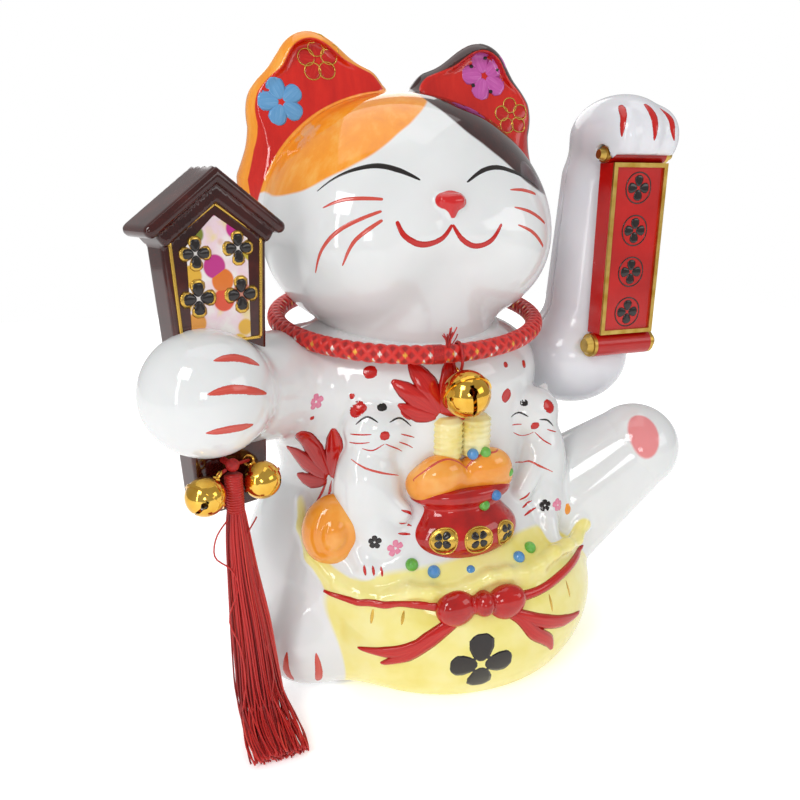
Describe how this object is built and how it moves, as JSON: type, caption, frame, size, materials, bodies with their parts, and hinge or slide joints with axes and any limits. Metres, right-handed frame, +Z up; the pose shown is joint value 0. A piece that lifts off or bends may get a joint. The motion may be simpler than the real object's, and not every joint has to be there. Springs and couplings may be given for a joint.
{
  "type": "beckoning cat figurine",
  "caption": "Seated beckoning cat with a signboard, treasure bag, collar bell and tassel; its battery-driven plastic arm waves on a balanced pivot.",
  "frame": {"origin": "centre of the base cover's underside, at table level", "axes": "+Z up, the cat faces -Y, +X is the side of its raised waving arm"},
  "size_m": [0.2322, 0.139, 0.2594],
  "materials": {
    "glaze_white": "gloss",
    "glaze_brown": "gloss",
    "cord_red": "satin",
    "gilt_brass": "polished",
    "bright_steel": "satin",
    "arm_plastic": "satin",
    "scroll_red": "gloss",
    "scroll_gilt": "satin",
    "nylon": "satin",
    "magnet": "satin",
    "frame_black": "matte",
    "copper_wire": "satin",
    "circuit_board": "satin",
    "chip_black": "satin",
    "lead_red": "satin",
    "cover_ivory": "satin",
    "cell_wrap": "gloss"
  },
  "bodies": {
    "body": {"ceramic_body": "glaze_white", "signboard": "glaze_brown", "collar_cord": "cord_red", "collar_binding": "cord_red", "outer_bush": "nylon", "inner_bush": "nylon", "mechanism_frame": "frame_black", "coil_bobbin": "frame_black", "coil_winding": "copper_wire", "driver_board": "circuit_board", "driver_chip": "chip_black", "lead_red": "lead_red", "lead_black": "chip_black", "base_cover": "cover_ivory", "battery_box": "frame_black", "battery_1": "cell_wrap", "battery_2": "cell_wrap", "contact_spring": "bright_steel", "contact_button": "bright_steel", "contact_bridge": "bright_steel", "switch_body": "frame_black", "tassel_cord": "cord_red", "tassel_knot": "cord_red"},
    "arm": {"arm_front_shell": "arm_plastic", "arm_back_shell": "arm_plastic", "arm_hub": "arm_plastic", "scroll_panel": "scroll_red", "scroll_frame": "scroll_gilt", "scroll_upper_roller": "scroll_red", "scroll_lower_roller": "scroll_red", "scroll_knob_1": "scroll_gilt", "scroll_knob_2": "scroll_gilt", "scroll_knob_3": "scroll_gilt", "scroll_knob_4": "scroll_gilt", "pivot_shaft": "bright_steel", "pendulum_lever": "nylon", "counterweight_1": "bright_steel", "counterweight_2": "bright_steel", "pendulum_magnet": "magnet"},
    "collar_bell": {"collar_bell_thread": "cord_red", "collar_bell_top": "gilt_brass", "collar_bell_bottom": "gilt_brass"},
    "collar_bell_clapper": {"collar_bell_pellet": "bright_steel"},
    "tassel": {"tassel_neck": "cord_red", "tassel_skirt": "cord_red"},
    "left_bell": {"tassel_bell_left_thread": "cord_red", "tassel_bell_left_top": "gilt_brass", "tassel_bell_left_bottom": "gilt_brass"},
    "left_bell_clapper": {"tassel_bell_left_pellet": "bright_steel"},
    "right_bell": {"tassel_bell_right_thread": "cord_red", "tassel_bell_right_top": "gilt_brass", "tassel_bell_right_bottom": "gilt_brass"},
    "right_bell_clapper": {"tassel_bell_right_pellet": "bright_steel"},
    "battery_door": {"battery_door": "cover_ivory"},
    "switch_slider": {"switch_slider": "chip_black"}
  },
  "joints": [
    {"name": "arm_swing", "type": "hinge", "parent": "body", "child": "arm", "pos_m": [0.084, 0.002, 0.124], "axis": [1, 0, 0], "range_deg": [-16, 9]},
    {"name": "collar_bell_swing", "type": "hinge", "parent": "body", "child": "collar_bell", "pos_m": [0.003, -0.0444, 0.1405], "axis": [1, 0, 0], "range_deg": [-30, 0]},
    {"name": "collar_bell_rattle", "type": "hinge", "parent": "collar_bell", "child": "collar_bell_clapper", "pos_m": [0.003, -0.053, 0.12649], "axis": [1, 0, 0], "range_deg": [-50, 50]},
    {"name": "tassel_swing", "type": "hinge", "parent": "body", "child": "tassel", "pos_m": [-0.0846, -0.05, 0.1086], "axis": [1, 0, 0], "range_deg": [-25, 0]},
    {"name": "left_bell_swing", "type": "hinge", "parent": "body", "child": "left_bell", "pos_m": [-0.0846, -0.05, 0.1086], "axis": [0, 1, 0], "range_deg": [0, 25]},
    {"name": "left_bell_rattle", "type": "hinge", "parent": "left_bell", "child": "left_bell_clapper", "pos_m": [-0.0948, -0.0553, 0.1005], "axis": [1, 0, 0], "range_deg": [-50, 50]},
    {"name": "right_bell_swing", "type": "hinge", "parent": "body", "child": "right_bell", "pos_m": [-0.0846, -0.05, 0.1086], "axis": [0, 1, 0], "range_deg": [-25, 0]},
    {"name": "right_bell_rattle", "type": "hinge", "parent": "right_bell", "child": "right_bell_clapper", "pos_m": [-0.0744, -0.0471, 0.1005], "axis": [1, 0, 0], "range_deg": [-50, 50]},
    {"name": "battery_door_pull", "type": "slide", "parent": "body", "child": "battery_door", "axis": [0, 0, -1], "range_m": [0, 0.03]},
    {"name": "switch_slide", "type": "slide", "parent": "body", "child": "switch_slider", "axis": [1, 0, 0], "range_m": [0, 0.003]}
  ]
}
